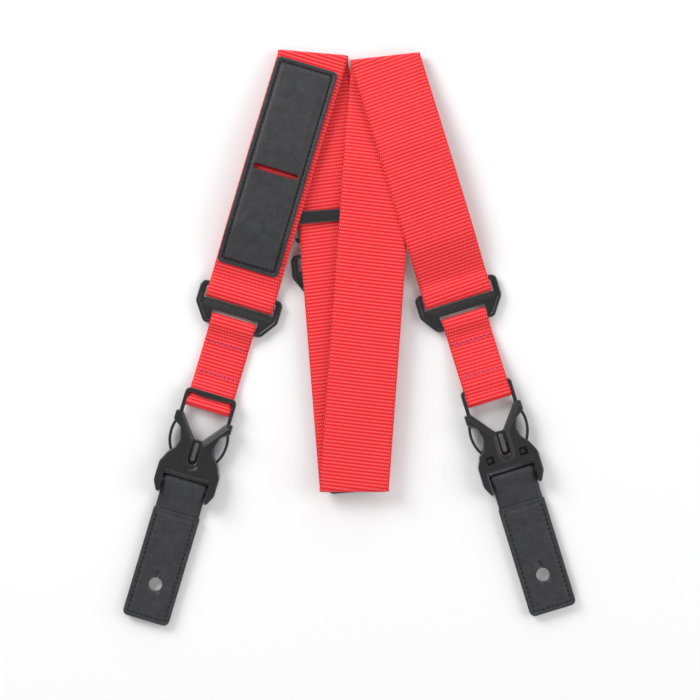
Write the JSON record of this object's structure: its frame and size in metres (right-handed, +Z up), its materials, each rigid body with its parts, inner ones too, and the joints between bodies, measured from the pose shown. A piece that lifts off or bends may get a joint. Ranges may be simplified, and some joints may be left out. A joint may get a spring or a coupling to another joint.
{
  "type": "webbing instrument strap",
  "caption": "Folded red webbing shoulder strap with tapered rings, side-release buckles, leather panel and button-hole leather tabs.",
  "frame": {"origin": "middle of the strap's outline on the table it lies on", "axes": "+X right, +Y towards the top folds, +Z up from the table"},
  "size_m": [0.2512, 0.321, 0.0134],
  "materials": {
    "webbing": "ribbed nylon weave",
    "leather": "fine grain",
    "black_plastic": "satin",
    "black_thread": "thread",
    "red_thread": "thread",
    "panel_felt": "dense felt"
  },
  "bodies": {
    "strap": {"left_run": "webbing", "left_ring_loop": "webbing", "left_tail": "webbing", "left_back_run": "webbing", "top_left_fold": "webbing", "back_run": "webbing", "bottom_fold": "webbing", "middle_run": "webbing", "top_right_fold": "webbing", "right_run": "webbing", "right_ring_loop": "webbing", "panel_lining": "panel_felt", "panel_core": "panel_felt", "panel_leather": "leather", "panel_stitching": "black_thread"},
    "left_ring": {"left_ring": "black_plastic"},
    "left_link": {"left_link": "webbing", "left_link_stitching": "red_thread"},
    "left_buckle_male": {"left_buckle_frame": "black_plastic"},
    "left_outer_prong": {"left_buckle_outer_prong": "black_plastic"},
    "left_inner_prong": {"left_buckle_inner_prong": "black_plastic"},
    "left_buckle_female": {"left_buckle_housing": "black_plastic"},
    "left_tab": {"left_tab_loop": "leather", "left_tab_back": "leather", "left_tab_core": "panel_felt", "left_tab_face": "leather", "left_tab_stitching": "black_thread"},
    "right_ring": {"right_ring": "black_plastic"},
    "right_link": {"right_link": "webbing", "right_link_stitching": "red_thread"},
    "right_buckle_male": {"right_buckle_frame": "black_plastic"},
    "right_outer_prong": {"right_buckle_outer_prong": "black_plastic"},
    "right_inner_prong": {"right_buckle_inner_prong": "black_plastic"},
    "right_buckle_female": {"right_buckle_housing": "black_plastic"},
    "right_tab": {"right_tab_loop": "leather", "right_tab_back": "leather", "right_tab_core": "panel_felt", "right_tab_face": "leather", "right_tab_stitching": "black_thread"},
    "slider": {"length_slider": "black_plastic", "rear_loop": "webbing"},
    "rear_ring": {"rear_ring": "black_plastic"},
    "rear_tab": {"rear_link": "webbing", "rear_tab_back": "leather", "rear_tab_core": "panel_felt", "rear_tab_face": "leather", "rear_tab_stitching": "black_thread"}
  },
  "joints": [
    {"name": "left_ring_tilt", "type": "hinge", "parent": "strap", "child": "left_ring", "pos_m": [-0.05938, 0.02472, 0.00275], "axis": [0.9583, -0.2857, 0], "range_deg": [-50, 50]},
    {"name": "left_link_tilt", "type": "hinge", "parent": "left_ring", "child": "left_link", "pos_m": [-0.06524, 0.00508, 0.00275], "axis": [0.9583, -0.2857, 0], "range_deg": [-50, 50]},
    {"name": "left_buckle_tilt", "type": "hinge", "parent": "left_link", "child": "left_buckle_male", "pos_m": [-0.07831, -0.03877, 0.0045], "axis": [0.9583, -0.2857, 0], "range_deg": [0, 70]},
    {"name": "left_outer_prong_squeeze", "type": "hinge", "parent": "left_buckle_male", "child": "left_outer_prong", "pos_m": [-0.0957, -0.04548, 0.0045], "axis": [0, 0, 1], "range_deg": [0, 7], "stiffness_Nm_per_rad": 0.2},
    {"name": "left_inner_prong_squeeze", "type": "hinge", "parent": "left_buckle_male", "child": "left_inner_prong", "pos_m": [-0.06743, -0.05391, 0.0045], "axis": [0, 0, -1], "range_deg": [0, 7], "stiffness_Nm_per_rad": 0.2},
    {"name": "left_buckle_release", "type": "slide", "parent": "left_buckle_male", "child": "left_buckle_female", "axis": [-0.2857, -0.9583, 0], "range_m": [0, 0.03], "deforming": ["left_buckle_outer_prong", "left_buckle_inner_prong"]},
    {"name": "left_tab_tilt", "type": "hinge", "parent": "left_buckle_female", "child": "left_tab", "pos_m": [-0.09116, -0.08189, 0.0045], "axis": [0.9583, -0.2857, 0], "range_deg": [-60, 60]},
    {"name": "right_ring_tilt", "type": "hinge", "parent": "strap", "child": "right_ring", "pos_m": [0.05879, 0.0276, 0.00275], "axis": [0.9563, 0.2924, 0], "range_deg": [-50, 50]},
    {"name": "right_link_tilt", "type": "hinge", "parent": "right_ring", "child": "right_link", "pos_m": [0.06479, 0.008, 0.00275], "axis": [0.9563, 0.2924, 0], "range_deg": [-50, 50]},
    {"name": "right_buckle_tilt", "type": "hinge", "parent": "right_link", "child": "right_buckle_male", "pos_m": [0.07752, -0.03365, 0.0045], "axis": [-0.9563, -0.2924, 0], "range_deg": [0, 70]},
    {"name": "right_outer_prong_squeeze", "type": "hinge", "parent": "right_buckle_male", "child": "right_outer_prong", "pos_m": [0.09496, -0.04024, 0.0045], "axis": [0, 0, -1], "range_deg": [0, 7], "stiffness_Nm_per_rad": 0.2},
    {"name": "right_inner_prong_squeeze", "type": "hinge", "parent": "right_buckle_male", "child": "right_inner_prong", "pos_m": [0.06675, -0.04886, 0.0045], "axis": [0, 0, 1], "range_deg": [0, 7], "stiffness_Nm_per_rad": 0.2},
    {"name": "right_buckle_release", "type": "slide", "parent": "right_buckle_male", "child": "right_buckle_female", "axis": [0.2924, -0.9563, 0], "range_m": [0, 0.03], "deforming": ["right_buckle_outer_prong", "right_buckle_inner_prong"]},
    {"name": "right_tab_tilt", "type": "hinge", "parent": "right_buckle_female", "child": "right_tab", "pos_m": [0.09068, -0.07668, 0.0045], "axis": [0.9563, 0.2924, 0], "range_deg": [-60, 60]},
    {"name": "slider_adjust", "type": "slide", "parent": "strap", "child": "slider", "axis": [-0.0802, 0.9968, 0], "range_m": [-0.025, 0.01]},
    {"name": "rear_ring_tilt", "type": "hinge", "parent": "slider", "child": "rear_ring", "pos_m": [-0.00899, 0.04591, 0.00275], "axis": [0.9968, 0.0802, 0], "range_deg": [0, 45]},
    {"name": "rear_tab_tilt", "type": "hinge", "parent": "rear_ring", "child": "rear_tab", "pos_m": [-0.00734, 0.02548, 0.00275], "axis": [0.9968, 0.0802, 0], "range_deg": [0, 45]}
  ],
  "couplings": [
    {"joint": "left_inner_prong_squeeze", "follows": "left_outer_prong_squeeze", "ratio": 1},
    {"joint": "right_inner_prong_squeeze", "follows": "right_outer_prong_squeeze", "ratio": 1}
  ]
}
